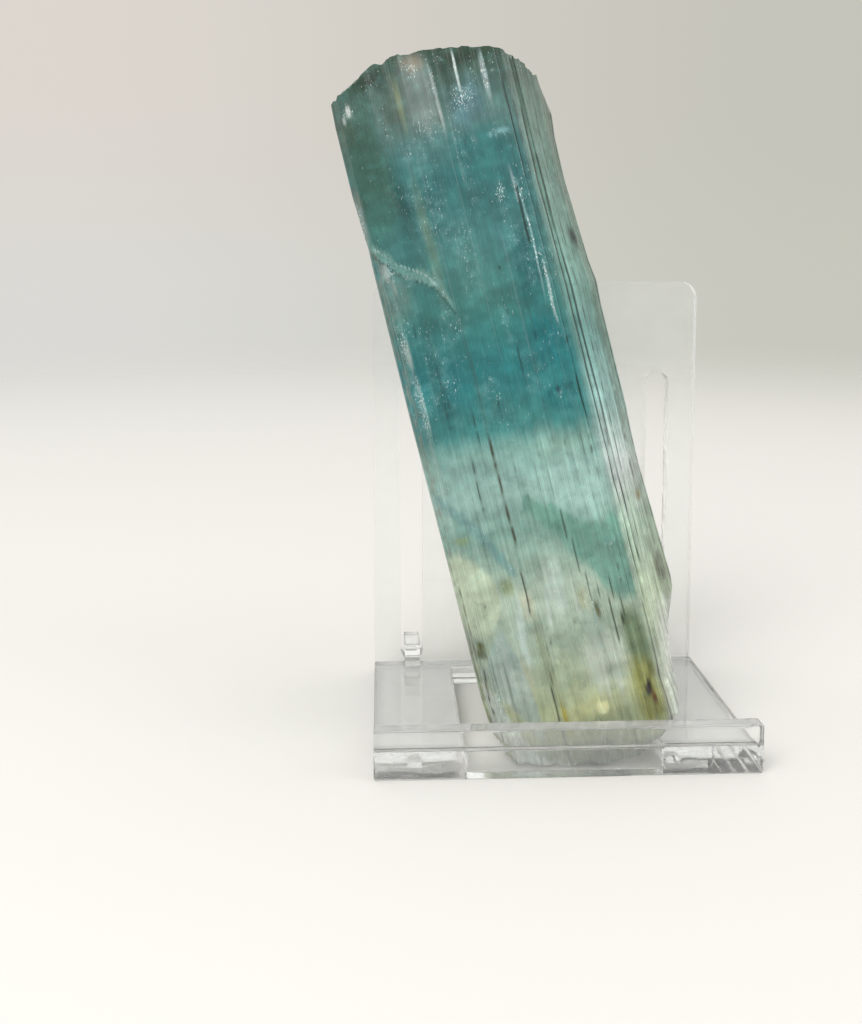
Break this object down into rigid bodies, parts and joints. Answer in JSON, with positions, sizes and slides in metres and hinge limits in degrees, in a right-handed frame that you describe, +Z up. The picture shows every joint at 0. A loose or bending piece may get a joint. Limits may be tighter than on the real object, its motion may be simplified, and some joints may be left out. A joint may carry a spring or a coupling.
{
  "type": "aquamarine crystal on a clear stand",
  "caption": "Natural blue-green aquamarine prism with ribbed faces and broken ends, leaning in a small clear plastic display stand.",
  "frame": {"origin": "middle of the underside of the whole object's box, on the surface that the stand rests on", "axes": "+Z up, -Y towards the stand's front lip and the crystal's broad face, +X to the right as seen from the front"},
  "size_m": [0.0348, 0.0252, 0.0591],
  "materials": {
    "aquamarine": "natural crystal faces, finely ribbed along the axis, satin to glassy, translucent",
    "clear_plastic": "clear moulded plastic, glossy, with fine scuffs"
  },
  "bodies": {
    "root": {"crystal": "aquamarine", "stand_base": "clear_plastic", "stand_upright": "clear_plastic"}
  },
  "joints": []
}
